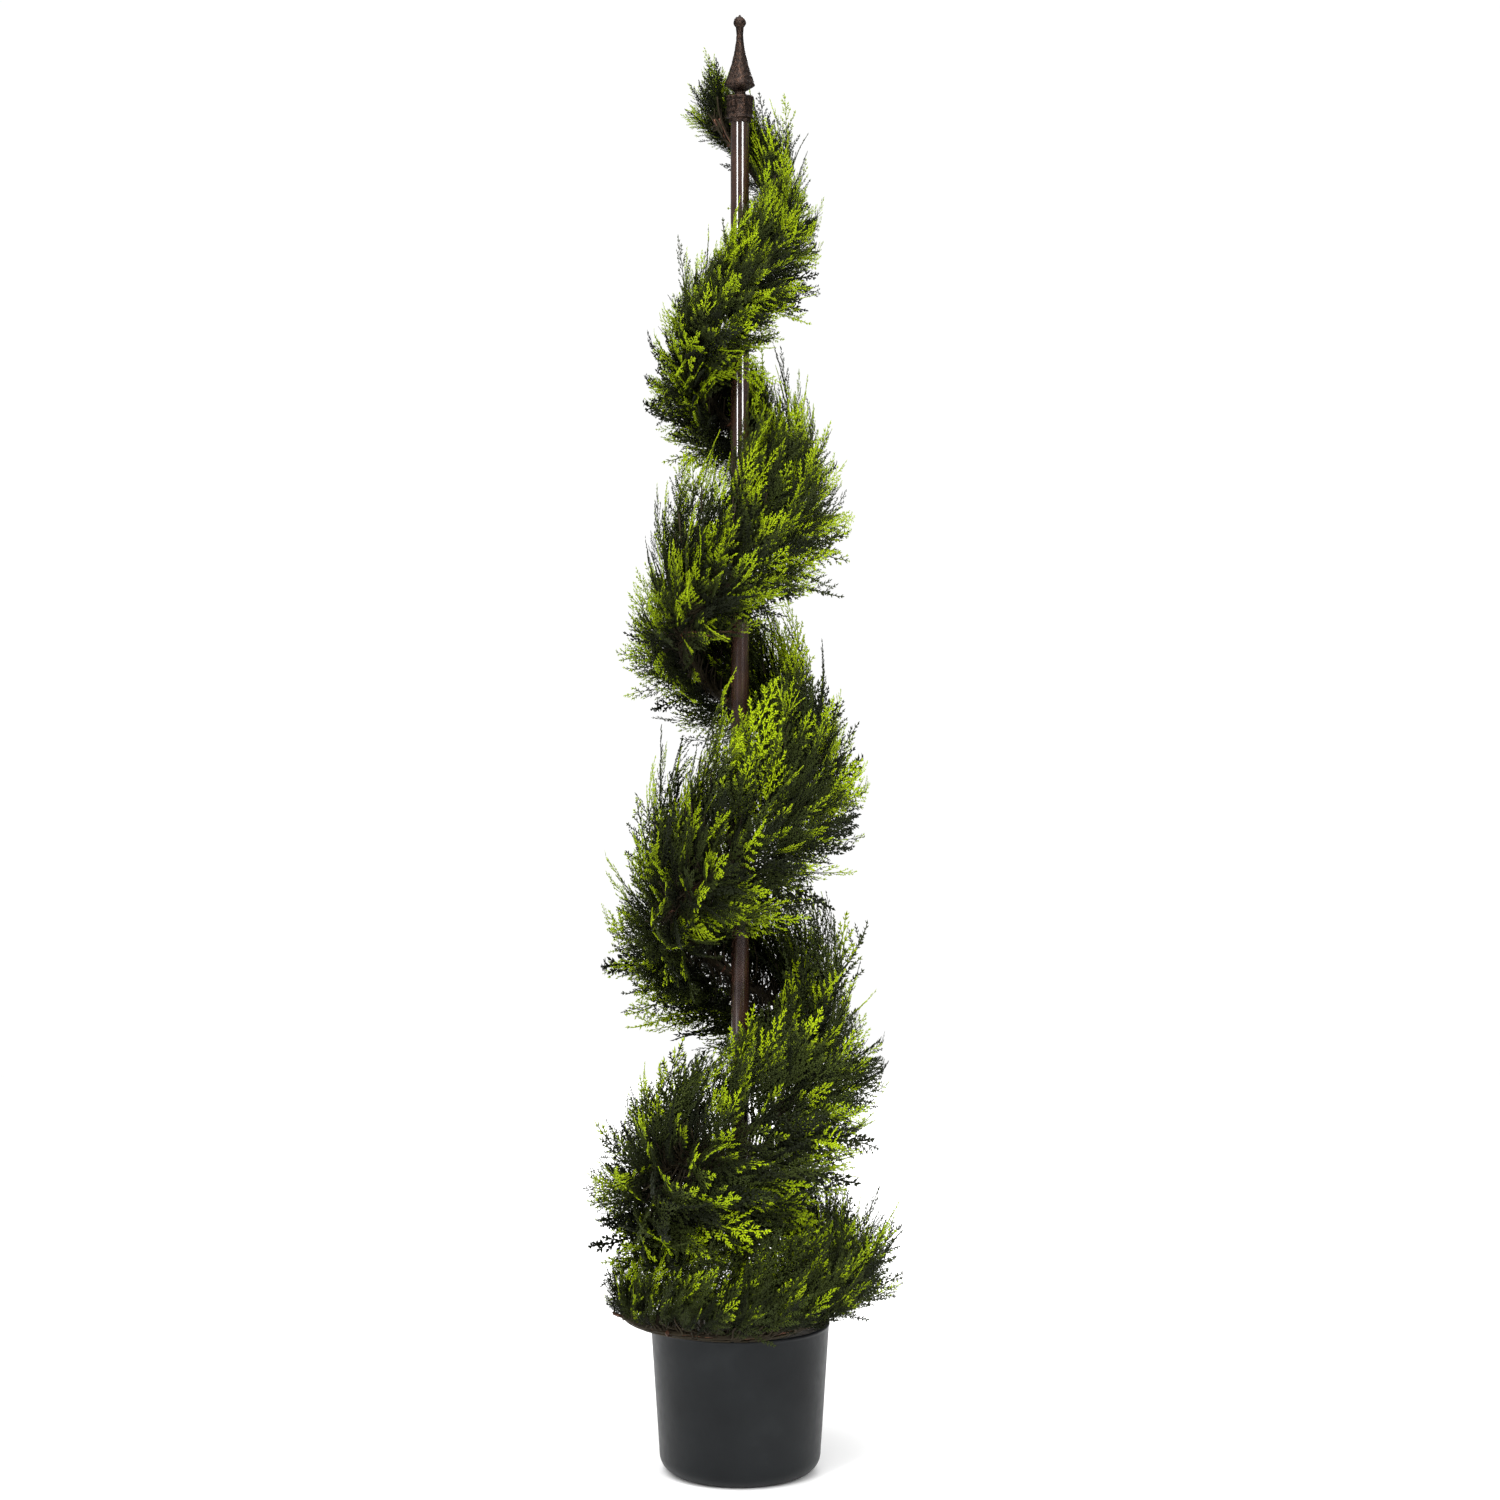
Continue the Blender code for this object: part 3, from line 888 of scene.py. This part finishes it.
@dataclass
class WireFrame:
    """The two rails, the hairpin arms that hold them off the pole, and the ties that bind them."""

    spiral: Spiral
    pole_radius: float
    rail_radius: float = 0.0016
    rail_offset: float = 0.004
    arm_radius: float = 0.0014
    arm_half_width: float = 0.0035
    arm_past: float = 0.0065
    arm_count: int = 9
    first_arm: float = 0.3
    tie_radius: float = 0.0009
    rim_ties: tuple[float, ...] = (-6 / 24, -3 / 24, 3 / 24)
    spiral_ties: int = 9
    first_tie: float = 13 / 24
    steps_per_turn: int = 120
    twist_length: float = 0.011

    def rail(self, name: str, offset: float, finish: bpy.types.Material) -> bpy.types.Object:
        """One long rail, bent by hand and so never quite even."""
        count = int((self.spiral.last - self.spiral.first) * self.steps_per_turn)
        turn = np.linspace(self.spiral.first, self.spiral.last, count)
        waver = 0.0004 * np.sin(turn * 61.0 + offset * 900.0) * np.sin(turn * 17.0)
        return solid_piece(name, finish, tube(self.spiral.at(turn, offset, waver), self.rail_radius, 12))

    def arm(self, index: int, finish: bpy.types.Material) -> bpy.types.Object:
        """A hairpin from the pole out under the rails."""
        turn = self.first_arm + index / 2
        out, side = self.spiral.outward(turn), self.spiral.along(turn)
        drop = unit(np.cross(out, side))
        drop *= -math.copysign(self.rail_radius + self.arm_radius + 0.0003, drop[2])
        base = np.array([0.0, 0.0, float(self.spiral.climb(turn))]) + drop
        bend = float(self.spiral.reach(turn)) + self.arm_past - self.arm_half_width
        start = self.pole_radius + 0.0003
        straight = np.linspace(start, bend, 12)
        bow = 0.0005 * np.sin(np.linspace(0.0, math.pi, 12))
        outline = [(x, -self.arm_half_width + b) for x, b in zip(straight, bow)]
        outline += arc((bend, 0.0), self.arm_half_width, -80, 80, 12)
        outline += [(x, self.arm_half_width - b) for x, b in zip(straight[::-1], bow)]
        path = np.array([base + out * across + side * sideways for across, sideways in outline])
        return solid_piece(f"hairpin_arm_{index + 1}", finish, tube(path, self.arm_radius, 12))

    def tie(self, index: int, turn: float, finish: bpy.types.Material) -> bpy.types.Object:
        """A wire wound twice round both rails, with its two ends twisted together."""
        up = unit(np.cross(self.spiral.outward(turn), self.spiral.along(turn)))
        side = np.cross(self.spiral.along(turn), up)
        ahead = self.spiral.along(turn)
        bend = self.rail_radius + 0.0006 + self.tie_radius
        loop = arc((self.rail_offset, 0.0), bend, -90, 90, 10)
        loop += arc((-self.rail_offset, 0.0), bend, 90, 270, 10)
        wound = loop + loop
        shift = np.linspace(-self.tie_radius, self.tie_radius, len(wound)) * 1.15
        middle = self.spiral.at(turn)
        path = [middle + side * x + up * y + ahead * s for (x, y), s in zip(wound, shift)]
        wires = [tube(np.array(path), self.tie_radius, 10)]
        foot = middle + side * (self.rail_offset + bend)
        away = unit(side + up * 0.35 + ahead * (0.8 if index % 2 else -0.8))
        across = unit(np.cross(away, up))
        level = np.cross(away, across)
        share = np.linspace(0.0, 1.0, 26)
        for phase in (0.0, math.pi):
            angle = share * 3.2 * math.tau + phase
            wide = self.tie_radius * (1.02 + 0.5 * share)
            strand = foot + away * (share * self.twist_length)[:, None]
            strand = strand + across * (np.cos(angle) * wide)[:, None]
            strand = strand + level * (np.sin(angle) * wide)[:, None]
            wires.append(tube(strand, self.tie_radius * 0.9, 8))
        return solid_piece(f"wire_tie_{index + 1}", finish, *wires)

    def build(self) -> None:
        """Makes every wire."""
        finish = LacqueredWire().material()
        for name, offset in (("outer_rail", self.rail_offset), ("inner_rail", -self.rail_offset)):
            rail = self.rail(f"{name}_wire", offset, finish)
            finished(rail, Body.STAND, [name])
        for index in range(self.arm_count):
            arm = self.arm(index, finish)
            finished(arm, Body.STAND, [f"arm_{index + 1}"])
        turns = list(self.rim_ties) + [self.first_tie + i / 2 for i in range(self.spiral_ties)]
        for index, turn in enumerate(turns):
            tie = self.tie(index, turn, finish)
            finished(tie, Body.STAND, [f"tie_{index + 1}"])


# ---------------------------------------------------------------------------------------------
# Foliage
# ---------------------------------------------------------------------------------------------


@dataclass
class Needles:
    """Many pointed leaf scales, as arrays with one row for each."""

    base: Array
    tip: Array
    flat: Array
    width: Array
    age: Array

    def solids(self) -> tuple[Array, Array, Array]:
        """Closed solids: flat on top, keeled below and widest at a third of their length.

        Returns:
            The points, the triangles and each point's age, from 0 at the stem to 1 at the tip.
        """
        direction = unit(self.tip - self.base)
        side = unit(np.cross(self.flat, direction))
        thick = np.cross(direction, side)
        half = (self.width / 2)[:, None]
        belly = self.base + (self.tip - self.base) * 0.36 + thick * half * 0.9
        points = np.stack([self.base, belly + side * half, belly - side * half, self.tip], 1)
        pattern = np.array([(0, 1, 2), (3, 2, 1), (0, 3, 1), (0, 2, 3)])
        faces = pattern[None] + points.shape[1] * np.arange(len(points))[:, None, None]
        ages = np.stack([self.age[:, 0], self.age.mean(1), self.age.mean(1), self.age[:, 1]], 1)
        return points.reshape(-1, 3), faces.reshape(-1, 3), ages.ravel()


@dataclass(frozen=True)
class SprigMould:
    """One moulded cypress sprig, lying flat along +Y from its stem, a unit long.

    Branchlets leave the stem alternately. Each carries scales in pairs and ends in a small fork.
    """

    seed: int
    branchlets: int = 13
    bare: float = 0.10
    spread: float = 0.42
    scale_gap: float = 0.046
    scale_length: float = 0.072
    scale_width: float = 0.0195

    def branch(self, rng: Random, start: Array, angle: float, length: float, age: float) -> list[tuple]:
        """One branchlet.

        Args:
            rng: the mould's random numbers.
            start: where it leaves the stem.
            angle: its angle from the stem, positive to the right.
            length: its length.
            age: its place on the stem, from 0 at the foot to 1 at the tip.

        Returns:
            Rows of (base, tip, width, age at the base, age at the tip).
        """
        rows = []
        heading = angle
        point = start
        ripe = age * 0.72 + rng.normal(0.0, 0.07)
        count = max(int(length / self.scale_gap), 1)
        for i in range(count):
            share = (i + 1) / count
            heading -= angle * 0.30 / count
            ahead = np.array([math.sin(heading), math.cos(heading), rng.normal(0.0, 0.05)])
            reach = point + ahead * (length / count)
            here = ripe + 0.36 * share
            rows.append((point, reach + ahead * 0.012, self.scale_width * 0.85, here - 0.03, here))
            for sign in (-1.0, 1.0):
                if rng.random() < 0.08:
                    continue
                lean = heading + sign * rng.normal(0.66, 0.12)
                size = self.scale_length * (1.05 - 0.42 * share) * rng.uniform(0.75, 1.15)
                away = np.array([math.sin(lean), math.cos(lean), rng.normal(0.0, 0.16)])
                foot = reach - ahead * (length / count) * rng.uniform(0.0, 0.5)
                rows.append((foot, foot + away * size, self.scale_width, here, here + 0.08))
            point = reach
        end = np.array([math.sin(heading), math.cos(heading), 0.0])
        rows.append((point, point + end * self.scale_length * 0.75, self.scale_width, here, here + 0.10))
        return rows

    def cast(self) -> Needles:
        """The whole sprig's scales."""
        rng = np.random.default_rng(self.seed)
        rows = []
        crook = rng.normal(0.0, 0.05)
        stem = [np.zeros(3)]
        heading = rng.normal(0.0, 0.05)
        steps = self.branchlets
        for i in range(steps):
            heading += crook / steps + rng.normal(0.0, 0.02)
            stem.append(stem[-1] + np.array([math.sin(heading), math.cos(heading), 0.0]) / steps)
        stem_width = self.scale_width * 1.15
        for i in range(steps):
            share = (i + 0.5) / steps
            width = stem_width * (1.3 - 0.6 * share)
            end = stem[i + 1] + (stem[i + 1] - stem[i]) * 0.5
            rows.append((stem[i], end, width, share - 0.05, share))
            if share < self.bare:
                continue
            side = 1.0 if i % 2 else -1.0
            angle = side * rng.normal(0.74 - 0.22 * share, 0.09)
            outline = math.sin(math.pi * min(share * 0.62 + 0.30, 1.0)) ** 0.8
            length = self.spread * outline * rng.uniform(0.60, 1.15) * (1.0 - 0.42 * share)
            rows += self.branch(rng, stem[i], angle, length, share)
        rows += self.branch(rng, stem[-1], heading, 0.10, 0.97)
        base, tip, width, early, late = zip(*rows)
        flat = np.tile([0.0, 0.0, 1.0], (len(rows), 1))
        ages = np.clip(np.stack([early, late], 1), 0.0, 1.4)
        return Needles(np.array(base), np.array(tip), flat, np.array(width), ages)


@dataclass
class Foliage:
    """Cypress sprigs wired along the rails, one piece for each bough."""

    spiral: Spiral
    boughs: int = 20
    sprigs_per_turn: float = 570.0
    inner_sprigs_per_turn: float = 250.0
    moulds: int = 10
    inner_moulds: int = 4
    seed: int = 4711
    girth: Table = (
        (-0.29, 0.132), (0.00, 0.150), (0.25, 0.170), (0.50, 0.158), (0.75, 0.147),
        (1.25, 0.141), (1.75, 0.131), (2.25, 0.123), (2.75, 0.118), (3.25, 0.105),
        (3.75, 0.084), (4.25, 0.069), (4.50, 0.068), (4.62, 0.070),
    )
    rise: Table = (
        (-0.29, 0.050), (0.00, 0.085), (0.25, 0.085), (0.50, 0.100), (0.75, 0.132),
        (1.00, 0.125), (1.25, 0.178), (1.75, 0.195), (2.00, 0.190), (2.25, 0.172),
        (2.75, 0.200), (3.00, 0.186), (3.25, 0.124), (3.75, 0.112), (4.00, 0.090),
        (4.25, 0.125), (4.50, 0.062), (4.62, 0.048),
    )
    fall: Table = (
        (-0.29, 0.006), (0.25, 0.010), (0.50, 0.095), (0.75, 0.150), (1.00, 0.185),
        (1.25, 0.110), (1.75, 0.070), (2.00, 0.080), (2.25, 0.072), (2.50, 0.040),
        (2.75, 0.028), (3.00, 0.060), (3.25, 0.034), (3.75, 0.070), (4.00, 0.072),
        (4.25, 0.080), (4.50, 0.010), (4.62, 0.012),
    )
    lowest: Table = ((0.0, 28.0), (0.30, -10.0), (0.60, -112.0), (4.25, -112.0), (4.62, -15.0))
    highest: float = 118.0
    youth: Table = ((0.0, 0.13), (1.0, 0.19), (2.0, 0.36), (3.0, 0.45), (4.0, 0.46))
    fullness: float = 1.2
    sprig_length: float = 0.098
    sprig_length_per_turn: float = 0.0085
    shortest_sprig: float = 0.034
    thinnest: float = 0.026
    stray: float = 0.008
    pull_back: float = 0.7
    never_lime: float = 1.6
    middle_aged: float = 0.34
    stem_radius: float = 0.0011
    bark: Color = (0.022, 0.017, 0.009)
    shade: Color = (0.0160, 0.0215, 0.0045)
    leaf: Color = (0.0400, 0.0540, 0.0080)
    lime: Color = (0.3050, 0.4200, 0.0030)
    pale_lime: Color = (0.4100, 0.5150, 0.0060)

    def at(self, table: Table, turn: float) -> float:
        """A table's value at a place on the spiral."""
        return float(np.interp(turn, *zip(*table)))

    def extent(self, turn: float, around: Array | float) -> Array:
        """How far the foliage reaches from the rails.

        Args:
            turn: the place on the spiral.
            around: directions in the upright plane: 0 outwards, a quarter turn upwards.

        Returns:
            The distance in each direction.
        """
        out = max(self.at(self.girth, turn) - float(self.spiral.reach(turn)), self.thinnest)
        rise, fall = self.at(self.rise, turn), self.at(self.fall, turn)
        upright = np.where(np.sin(around) >= 0.0, rise, fall)
        return 1.0 / np.hypot(np.cos(around) / out, np.sin(around) / upright)

    def direction(self, turn: float, share: float) -> float:
        """Picks a direction, so that an even spread of shares fills the foliage's section evenly.

        Args:
            turn: the place on the spiral.
            share: from 0, lowest, to 1, highest.

        Returns:
            The direction in the upright plane, in radians.
        """
        angles = np.radians(np.linspace(self.at(self.lowest, turn), self.highest, 32))
        crowd = np.cumsum(self.extent(turn, angles) ** self.fullness)
        return float(np.interp(share * crowd[-1], crowd, angles))

    def bend(self, points: Array, ahead: Array, bow: Array, curl: float, twist: float) -> Array:
        """Bends flat points round an arc that starts ahead and leans towards bow.

        Args:
            points: the points of a flat sprig at full size.
            ahead: the direction in which the sprig starts.
            bow: the direction that it bends towards, square to ahead.
            curl: the bend in radians for each metre.
            twist: the turn about its stem in radians for each metre.

        Returns:
            The points as offsets from the sprig's foot.
        """
        side = np.cross(ahead, bow)
        reach = points[:, 1]
        angle = curl * reach
        safe = curl if abs(curl) > 0.01 else 0.01
        forward = np.sin(safe * reach) / safe
        lifted = (1.0 - np.cos(safe * reach)) / safe
        roll = twist * reach
        across = points[:, 0] * np.cos(roll) - points[:, 2] * np.sin(roll)
        above = points[:, 0] * np.sin(roll) + points[:, 2] * np.cos(roll)
        tilted = bow[None] * np.cos(angle)[:, None] - ahead[None] * np.sin(angle)[:, None]
        spine = ahead[None] * forward[:, None] + bow[None] * lifted[:, None]
        return spine + side[None] * across[:, None] + tilted * above[:, None]

    def tint(self, age: Array, youth: float, fresh: float, shadow: float) -> Array:
        """Colours from dark base to lime tip.

        Args:
            age: each point's age, 0 to 1 and a little over.
            youth: the age at which a sprig turns lime.
            fresh: how pale its lime is, 0 to 1.
            shadow: how dark its base is: 0 to 1 at random for outer sprigs, and 1.3, past the shade
                colour, for painted shade on the sprigs deep inside.

        Returns:
            A linear colour for each point.
        """
        base = np.array(self.leaf) * (1.0 - shadow) + np.array(self.shade) * shadow
        tip = np.array(self.lime) * (1.0 - fresh) + np.array(self.pale_lime) * fresh
        share = np.clip((age - youth) / 0.26, 0.0, 1.0)[:, None]
        share = share * share * (3.0 - 2.0 * share)
        dim = np.clip(0.55 + 0.75 * age, 0.0, 1.0)[:, None]
        return (base * (1.0 - share) + tip * share) * (dim * (1.0 - share) + share)

    def stem(self, turn: float, foot: Array, ahead: Array, rng: Random) -> Array:
        """A sprig's stem: it runs along the rails for a way, then leaves them for the sprig's foot."""
        around = rng.uniform(0.0, math.tau)
        rail = 0.0062 * math.cos(around), 0.0042 * math.sin(around)
        back = rng.uniform(0.018, 0.045)
        turns = np.linspace(max(turn - back, self.spiral.first), turn - 0.2 * back, 4)
        on_rail = self.spiral.at(turns, rail[0], rail[1])
        start, leave = on_rail[-1], self.spiral.along(turn)
        gap = np.linalg.norm(foot - start)
        share = np.linspace(0.0, 1.0, 6)[1:, None]
        first, second = start + leave * gap * 0.35, foot - ahead * gap * 0.35
        curve = start * (1 - share) ** 3 + 3 * first * share * (1 - share) ** 2
        curve += 3 * second * share**2 * (1 - share) + foot * share**3
        return np.concatenate([on_rail, curve])

    def sprig(
        self,
        shape: Shape,
        mould: tuple[Array, Array, Array],
        turn: float,
        around: float,
        rng: Random,
        hidden: bool = False,
    ) -> None:
        """Adds one sprig and its stem.

        Args:
            shape: the bough that it belongs to.
            mould: the sprig's points, triangles and ages.
            turn: where it is wired to the rails.
            around: its direction in the upright plane.
            rng: the foliage's random numbers.
            hidden: whether it is one of the short sprigs deep inside, darkened with painted shade.
        """
        out, ahead = self.spiral.outward(turn), self.spiral.along(turn)
        up = np.array([0.0, 0.0, 1.0])
        plane = out * math.cos(around) + up * math.sin(around)
        extent = float(self.extent(turn, around)) * (0.74 if hidden else 1.0)
        size = self.sprig_length - self.sprig_length_per_turn * turn
        inner = 0.02 + max(0.48, 0.98 - 0.70 * size / extent) * rng.random() ** 0.7
        lean = rng.uniform(0.55, 1.05) + 0.35 * max(-math.sin(around), 0.0)
        direction = unit(plane + ahead * lean + up * rng.normal(0.22, 0.14))
        length = size * rng.uniform(0.68, 1.15)
        room = extent * min(max(rng.normal(1.0, 0.18), 0.62), 1.55) - extent * inner
        length = max(min(length, room / max(float(direction @ plane), 0.35)), self.shortest_sprig)
        foot = self.spiral.at(turn) + plane * extent * inner + ahead * rng.uniform(-0.01, 0.01)
        facing = unit(out * 0.75 + plane * 0.45 + up * 0.15)
        facing = unit(facing - direction * (facing @ direction))
        roll = rng.normal(0.0, 0.62)
        bow = facing * math.cos(roll) + np.cross(direction, facing) * math.sin(roll)
        points, faces, ages = mould
        flip = -1.0 if rng.random() < 0.5 else 1.0
        flat = points * length * np.array([rng.uniform(0.9, 1.15), 1.0, 1.0])
        flat[:, 2] -= rng.uniform(0.5, 3.0) * flat[:, 0] ** 2
        flat = flat * np.array([flip, 1.0, 1.0])
        sprung = self.bend(flat, direction, bow, rng.normal(-3.0, 3.0), rng.normal(0.0, 5.0))
        lift = up * (rng.uniform(0.2, 1.3) * flat[:, 1] ** 2)[:, None]
        placed = foot + sprung + lift
        reach = np.hypot(placed[:, 0], placed[:, 1])
        limit = self.at(self.girth, turn) + self.stray
        over = np.maximum(reach - limit, 0.0) / np.maximum(reach, 1e-6)
        placed[:, :2] *= (1.0 - self.pull_back * over)[:, None]
        youths = [rng.uniform(0.30, 0.60), rng.uniform(0.60, 0.85), self.never_lime]
        young = self.at(self.youth, turn)
        odds = [young, self.middle_aged, 1.0 - self.middle_aged - young]
        # Painted shade: sprigs deep inside get no lime and a base darker than the shade colour.
        youth = self.never_lime if hidden else rng.choice(youths, p=odds)
        colors = self.tint(ages, youth, rng.uniform(0.0, 0.55), 1.3 if hidden else rng.uniform(0.0, 1.0))
        turned_faces = faces if flip > 0 else faces[:, ::-1]
        shape.add(placed, turned_faces, colors)
        path = self.stem(turn, foot, direction, rng)
        radius = np.linspace(self.stem_radius, self.stem_radius * 0.8, len(path))
        stem_points, stem_faces = tube(path, radius, 5)
        bark = np.array(self.bark) * rng.uniform(0.7, 1.5)
        shape.add(stem_points, stem_faces, np.tile(bark, (len(stem_points), 1)))

    def build(self) -> None:
        """Grows every bough."""
        finish = CypressPlastic()
        material = finish.material()
        outer = [SprigMould(self.seed + i).cast().solids() for i in range(self.moulds)]
        coarse = SprigMould(0, 15, 0.05, 0.30, 0.085, 0.11, 0.040)
        seeds = [self.seed - 1 - i for i in range(self.inner_moulds)]
        inner = [replace(coarse, seed=seed).cast().solids() for seed in seeds]
        rng = np.random.default_rng(self.seed)
        golden = (math.sqrt(5.0) - 1.0) / 2.0
        span = (self.spiral.last - self.spiral.first) / self.boughs
        serial = 0
        for index in range(self.boughs):
            shape = Shape()
            start = self.spiral.first + span * index
            for moulds, crowd in ((inner, self.inner_sprigs_per_turn), (outer, self.sprigs_per_turn)):
                count = int(span * crowd)
                for i in range(count):
                    serial += 1
                    turn = start + span * (i + rng.random()) / count
                    share = (serial * golden + rng.normal(0.0, 0.03)) % 1.0
                    around = self.direction(turn, share)
                    mould = moulds[int(rng.integers(len(moulds)))]
                    self.sprig(shape, mould, turn, around, rng, moulds is inner)
            piece = shape.build(f"bough_sprigs_{index + 1}", material, finish.color_layer)
            finished(piece, Body.STAND, [f"bough_{index + 1}"])


# ---------------------------------------------------------------------------------------------
# Studio
# ---------------------------------------------------------------------------------------------


@dataclass(frozen=True)
class Softbox:
    """One soft studio light that faces the topiary."""

    name: str
    place: tuple[float, float, float]
    width: float
    height: float
    power: float

    def build(self, target: Vector) -> None:
        """Makes the light and turns it to the target."""
        data = bpy.data.lights.new(self.name, "AREA")
        data.shape = "RECTANGLE"
        data.size = self.width
        data.size_y = self.height
        data.energy = self.power
        lamp = new_object(self.name, data)
        lamp.location = self.place
        aim = target - Vector(self.place)
        lamp.rotation_euler = aim.to_track_quat("-Z", "Y").to_euler()


@dataclass
class Studio:
    """Pale floor, soft lights, white surroundings and the camera."""

    camera_distance: float = 3.5
    camera_height: float = 0.98
    camera_side: float = 0.0105
    camera_tilt: float = math.radians(3.53)
    lens: float = 80.47
    sensor: float = 36.0
    floor_size: float = 5.2
    lights: tuple[Softbox, ...] = (
        Softbox("left_strip", (-1.60, -2.55, 1.80), 0.48, 1.5, 40.0),
        Softbox("right_strip", (1.75, -2.45, 1.80), 0.70, 1.5, 52.0),
        Softbox("top_softbox", (-0.5, -1.0, 3.2), 2.2, 2.2, 62.0),
        Softbox("rim_softbox", (0.4, 2.8, 2.6), 2.0, 1.2, 52.0),
    )
    sun_strength: float = 1.6
    ambient: float = 0.88
    aim: tuple[float, float, float] = (0.0, 0.0, 0.8)

    def floor(self) -> None:
        """A wide floor, level with the pot's underside."""
        half = self.floor_size / 2
        corners = [(-half, -half, 0.0), (half, -half, 0.0), (half, half, 0.0), (-half, half, 0.0)]
        mesh = bpy.data.meshes.new("studio_floor")
        mesh.from_pydata(corners, [], [(0, 1, 2, 3)])
        mesh.materials.append(StudioFloor().material())
        new_object("studio_floor", mesh)

    def surroundings(self) -> None:
        """White all round to the eye, and a softer gradient as light."""
        world = bpy.data.worlds.new("studio")
        world.use_nodes = True
        bpy.context.scene.world = world
        sheet = NodeSheet(world.node_tree)
        light = world.node_tree.nodes["Background"]
        way = sheet.add("ShaderNodeTexCoord").outputs["Generated"]
        split = sheet.add("ShaderNodeSeparateXYZ")
        sheet.link(way, split.inputs["Vector"])
        high = sheet.spread(split.outputs["Z"], 0.0, 1.0)
        high.node.inputs["From Min"].default_value = -0.1
        stops = [(0.0, (0.10,) * 3), (0.35, (0.24,) * 3), (0.75, (1.0,) * 3)]
        sheet.link(sheet.ramp(high, stops), light.inputs["Color"])
        light.inputs["Strength"].default_value = self.ambient
        seen = sheet.add("ShaderNodeBackground")
        seen.inputs["Color"].default_value = (1.0, 1.0, 1.0, 1.0)
        seen.inputs["Strength"].default_value = 1.02
        pick = sheet.add("ShaderNodeMixShader")
        sheet.link(sheet.add("ShaderNodeLightPath").outputs["Is Camera Ray"], pick.inputs["Fac"])
        sheet.link(light.outputs["Background"], pick.inputs[1])
        sheet.link(seen.outputs["Background"], pick.inputs[2])
        sheet.link(pick.outputs["Shader"], world.node_tree.nodes["World Output"].inputs["Surface"])

    def sun(self) -> None:
        """A very broad overhead light, as from a lit ceiling."""
        data = bpy.data.lights.new("ceiling_light", "SUN")
        data.energy = self.sun_strength
        data.angle = math.radians(70.0)
        lamp = new_object("ceiling_light", data)
        lamp.rotation_euler = (math.radians(38.0), math.radians(-16.0), 0.0)

    def camera(self) -> None:
        """A long lens at about two thirds of the topiary's height, tilted slightly down."""
        data = bpy.data.cameras.new("camera")
        data.lens = self.lens
        data.sensor_width = self.sensor
        camera = new_object("camera", data)
        camera.location = (self.camera_side, -self.camera_distance, self.camera_height)
        camera.rotation_euler = (math.pi / 2 - self.camera_tilt, 0.0, 0.0)
        bpy.context.scene.camera = camera

    def build(self) -> None:
        """Sets up the studio."""
        self.camera()
        self.floor()
        self.surroundings()
        self.sun()
        for light in self.lights:
            light.build(Vector(self.aim))
        bpy.context.scene.view_settings.view_transform = "Standard"


def main() -> None:
    """Builds the topiary and its studio."""
    logging.basicConfig(level=logging.INFO, format="%(message)s")
    Studio().build()
    pole = Pole()
    spiral = Spiral()
    Pot().build(pole.radius)
    pole.build(GlossEnamel().material())
    Finial(pole.radius).build()
    WireFrame(spiral, pole.radius).build()
    Foliage(spiral).build()


if __name__ == "__main__":
    main()
